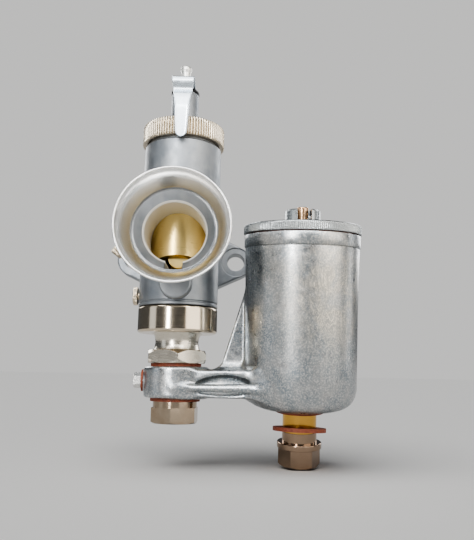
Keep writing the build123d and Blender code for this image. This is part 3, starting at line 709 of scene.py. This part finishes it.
def net(field, low, high, step):
    """Surface nets: a quad mesh of where the field is zero, pulled onto it.

    Each cell that the surface passes through gets a point at the mean of its edges' crossings, and each
    crossed edge gets a quad between the four cells around it.
    """
    axes = [np.arange(a, b + step, step) for a, b in zip(low, high)]
    x, y, z = np.meshgrid(*axes, indexing="ij")
    value = field(x, y, z)
    solid = value < 0
    shape = np.array(value.shape) - 1
    total = np.zeros((*shape, 3))
    hits = np.zeros(shape)
    crossings = []
    for axis in range(3):
        a = [slice(None)] * 3
        b = [slice(None)] * 3
        a[axis], b[axis] = slice(0, -1), slice(1, None)
        a, b = tuple(a), tuple(b)
        crossed = solid[a] != solid[b]
        t = np.zeros(crossed.shape)
        t[crossed] = value[a][crossed] / (value[a][crossed] - value[b][crossed])
        crossings.append((crossed, solid[a]))
        others = [k for k in range(3) if k != axis]
        for i in (0, 1):
            for j in (0, 1):
                pick = [slice(None)] * 3
                pick[others[0]] = slice(i, i + shape[others[0]])
                pick[others[1]] = slice(j, j + shape[others[1]])
                pick = tuple(pick)
                hit = crossed[pick]
                hits += hit
                total[..., axis] += np.where(hit, t[pick], 0)
                total[..., others[0]] += hit * i
                total[..., others[1]] += hit * j
    cells = np.argwhere(hits > 0)
    number = np.full(shape, -1)
    number[tuple(cells.T)] = np.arange(len(cells))
    points = np.array(low) + (cells + total[tuple(cells.T)] / hits[tuple(cells.T)][:, None]) * step
    # Three small steps along the slope bring each point onto the surface.
    for _ in range(3):
        here = field(*points.T)
        slope = np.stack([
            (field(*(points + shift).T) - field(*(points - shift).T)) / 0.1 for shift in np.eye(3) * 0.05
        ], axis=1)
        size = np.maximum((slope ** 2).sum(1), 0.3)
        move = np.clip(here / size, -0.4 * step, 0.4 * step)
        points = points - slope * move[:, None]
    quads = []
    for axis, (crossed, first) in enumerate(crossings):
        i, j = [k for k in range(3) if k != axis]
        edges = np.argwhere(crossed)
        u, v = edges[:, i], edges[:, j]
        edges = edges[(u > 0) & (v > 0) & (u < shape[i]) & (v < shape[j])]
        corners = []
        for di, dj in ((-1, -1), (0, -1), (0, 0), (-1, 0)):
            at = edges.copy()
            at[:, i] += di
            at[:, j] += dj
            corners.append(number[tuple(at.T)])
        quad = np.stack(corners, axis=1)
        flip = first[tuple(edges.T)] ^ (axis == 1)
        quad[~flip] = quad[~flip][:, ::-1]
        quads.append(quad)
    return points, np.concatenate(quads)


def float_chamber():
    """One casting: the turned bowl, and the arm that is meshed from its field."""
    turned_bowl = BowlField()
    step = 0.42
    points, quads = net(
        lambda x, y, z: arm_field(x, y, z, turned_bowl), (-15, -22, -69), (46, 22, -12.5), step)
    arm = bpy.data.meshes.new("arm")
    places = (points * MM + np.array([MIXING_X, MIXING_Y, 0.0])).tolist()
    arm.from_pydata(places, [], quads.tolist())
    bm = bowl()
    bm.from_mesh(arm)
    bpy.data.meshes.remove(arm)
    piece("float_chamber_casting", bm, "bowl", "cast_aluminium", "float_chamber", sharp=45)


cap_ring()
lid_rim()
screw_heads()
locking_clip()
pressed_spring("throttle_spring")
pressed_spring("tickler_spring")
float_chamber()


# Floor, light and camera ---------------------------------------------------------------------------

FLOOR = (0.86, 0.85, 0.83)
SKY = (0.10, 0.105, 0.112)
SUN = 2.2
SUN_TILT = (radians(28), radians(-14))
PANEL_AWAY = 0.9
# name, azimuth, elevation, width, height, power, colour
PANELS = (
    ("strip", -24, 12, 0.10, 0.8, 6.5, (1, 1, 1)),
    ("window", 50, 14, 0.80, 0.8, 5.0, (1.0, 0.95, 0.88)),
    ("edge", 101, 10, 0.06, 0.8, 1.0, (1, 1, 1)),
    ("side", -72, 10, 0.34, 0.7, 0.7, (0.88, 0.94, 1.0)),
    ("front", 8, 36, 0.9, 0.4, 4.5, (1, 1, 1)),
    ("rear_left", 215, 30, 0.4, 0.6, 3.5, (1, 1, 1)),
    ("rear_right", 140, 25, 0.3, 0.6, 2.5, (1, 1, 1)),
)


def plain_floor():
    """A wide pale floor just under the object. Returns the collection that the panels don't light."""
    s = Shader("pale_floor")
    s.set(Roughness=0.9)
    s.principled.inputs["Base Color"].default_value = (*FLOOR, 1)
    mesh = bpy.data.meshes.new("floor")
    half = 12.0
    z = cad_box[0][2] - 0.4 * MM
    corners = [(-half, -half, z), (half, -half, z), (half, half, z), (-half, half, z)]
    mesh.from_pydata(corners, [], [(0, 1, 2, 3)])
    floor = bpy.data.objects.new("floor", mesh)
    floor.data.materials.append(s.material)
    bpy.context.scene.collection.objects.link(floor)
    # The panels leave the floor out, so that it is lit nearly evenly as far as the horizon.
    spared = bpy.data.collections.new("not_lit_by_panels")
    spared.objects.link(floor)
    spared.collection_objects[0].light_linking.link_state = "EXCLUDE"
    return spared


def softbox(spared, name, azimuth, elevation, width, height, power, colour):
    """A panel that faces the object. Azimuth 0 is on the bellmouth's side, and 90 on the float chamber's."""
    data = bpy.data.lights.new(name, "AREA")
    data.shape = "RECTANGLE"
    data.size, data.size_y = width, height
    data.energy = power
    data.color = colour
    lamp = bpy.data.objects.new(name, data)
    bpy.context.scene.collection.objects.link(lamp)
    lamp.light_linking.receiver_collection = spared
    centre = (Vector(cad_box[0]) + Vector(cad_box[1])) / 2
    a, e = radians(azimuth), radians(elevation)
    lamp.location = centre + Vector((sin(a) * cos(e), -cos(a) * cos(e), sin(e))) * PANEL_AWAY
    lamp.rotation_euler = (centre - lamp.location).to_track_quat("-Z", "Y").to_euler()


def studio(spared):
    """A dim sky, one broad sun and the panels."""
    world = bpy.data.worlds.new("studio")
    bpy.context.scene.world = world
    world.use_nodes = True
    tree = world.node_tree
    background = tree.nodes["Background"]
    background.inputs["Color"].default_value = (*SKY, 1)
    sun = bpy.data.lights.new("sky_panel", "SUN")
    sun.energy = SUN
    sun.angle = radians(60)
    lamp = bpy.data.objects.new("sky_panel", sun)
    lamp.rotation_euler = (*SUN_TILT, 0)
    bpy.context.scene.collection.objects.link(lamp)
    # What the camera sees beyond the floor is about as bright as the far floor: the horizon is faint.
    falling = SUN * cos(SUN_TILT[0]) * cos(SUN_TILT[1])
    far = [tone * (falling / pi + sky) for tone, sky in zip(FLOOR, SKY)]
    seen = tree.nodes.new("ShaderNodeBackground")
    seen.inputs["Color"].default_value = (*far, 1)
    either = tree.nodes.new("ShaderNodeMixShader")
    ray = tree.nodes.new("ShaderNodeLightPath")
    tree.links.new(ray.outputs["Is Camera Ray"], either.inputs["Fac"])
    tree.links.new(background.outputs[0], either.inputs[1])
    tree.links.new(seen.outputs[0], either.inputs[2])
    tree.links.new(either.outputs[0], tree.nodes["World Output"].inputs["Surface"])
    for panel in PANELS:
        softbox(spared, *panel)


def camera():
    """Looking along the bore from in front of the bellmouth and a little below."""
    data = bpy.data.cameras.new("camera")
    data.lens = 40.0
    data.sensor_width = 36.0
    data.clip_start = 0.01
    data.clip_end = 20
    view = bpy.data.objects.new("camera", data)
    bpy.context.scene.collection.objects.link(view)
    yaw, pitch, roll = radians(-1.23), radians(9.80), radians(1.04)
    level_right = Vector((cos(yaw), sin(yaw), 0))
    level_ahead = Vector((-sin(yaw), cos(yaw), 0))
    ahead = level_ahead * cos(pitch) + Vector((0, 0, sin(pitch)))
    level_up = Vector((0, 0, cos(pitch))) - level_ahead * sin(pitch)
    right = level_right * cos(roll) + level_up * sin(roll)
    up = level_up * cos(roll) - level_right * sin(roll)
    turn = Matrix((right, up, -ahead)).transposed()
    stand = (19.43 * MM, -297.03 * MM, -53.60 * MM)
    view.matrix_world = Matrix.Translation(stand) @ turn.to_4x4()
    bpy.context.scene.camera = view


studio(plain_floor())
camera()
bpy.context.scene.view_settings.view_transform = "AgX"
bpy.context.scene.view_settings.look = "AgX - Medium High Contrast"
